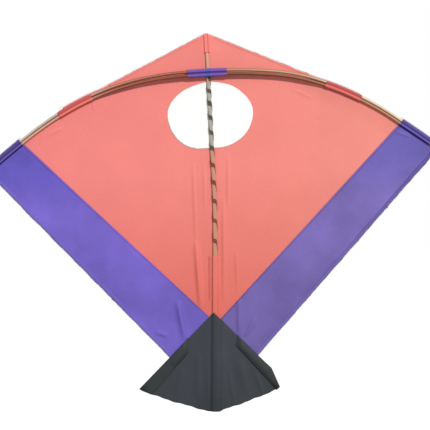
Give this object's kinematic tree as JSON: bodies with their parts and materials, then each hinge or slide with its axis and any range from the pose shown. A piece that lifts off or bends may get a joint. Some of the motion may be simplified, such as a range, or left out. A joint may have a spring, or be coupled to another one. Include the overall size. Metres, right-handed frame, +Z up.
{
  "type": "diamond kite",
  "caption": "Diamond fighter kite: coral and purple tissue-paper sail with a white oval and a dark tail fan, stretched on a bent bamboo bow tied across a flat bamboo spine.",
  "frame": {"origin": "where the bow crosses the spine, between the bow's back and the spine's front", "axes": "+Z up the spine to the nose, +X along the span to the right wing tip seen from the frame side, +Y to the back of the sail; the frame side faces -Y"},
  "size_m": [0.536, 0.011, 0.4535],
  "materials": {
    "coral_paper": "matt tissue paper, slightly translucent, softly creased",
    "purple_paper": "matt tissue paper, slightly translucent, softly creased",
    "white_paper": "matt tissue paper",
    "charcoal_paper": "matt tissue paper, folded double at the sides",
    "wrap_paper": "matt tissue paper pasted round the bow",
    "bamboo": "split bamboo, satin skin with fine grain and nodes",
    "dark_thread": "twisted cotton thread",
    "pale_thread": "twisted cotton thread"
  },
  "bodies": {
    "root": {"sail_main_panel": "coral_paper", "shoulder_tab_left": "coral_paper", "shoulder_tab_right": "coral_paper", "nose_cover_strip": "coral_paper", "spine_cover_strip": "coral_paper", "edge_hem_upper_left": "coral_paper", "edge_hem_upper_right": "coral_paper", "side_strip_left": "purple_paper", "side_strip_right": "purple_paper", "tip_sleeve_left": "purple_paper", "tip_sleeve_right": "purple_paper", "edge_hem_lower_left": "purple_paper", "edge_hem_lower_right": "purple_paper", "moon_disc": "white_paper", "tail_fan": "charcoal_paper", "tail_hem_left": "charcoal_paper", "tail_hem_right": "charcoal_paper", "bow_centre_wrap": "wrap_paper", "bow_upper_splint": "bamboo", "bow_lower_splint": "bamboo", "spine": "bamboo", "tail_splint_left": "bamboo", "tail_splint_right": "bamboo", "spine_binding": "dark_thread", "crossing_lashing": "dark_thread", "edge_knot_left": "dark_thread", "edge_knot_right": "dark_thread", "edge_thread_upper_left": "pale_thread", "edge_thread_upper_right": "pale_thread", "edge_thread_lower_left": "pale_thread", "edge_thread_lower_right": "pale_thread", "tip_tie_left": "pale_thread", "tip_tie_right": "pale_thread", "tail_tie": "pale_thread"}
  },
  "joints": []
}
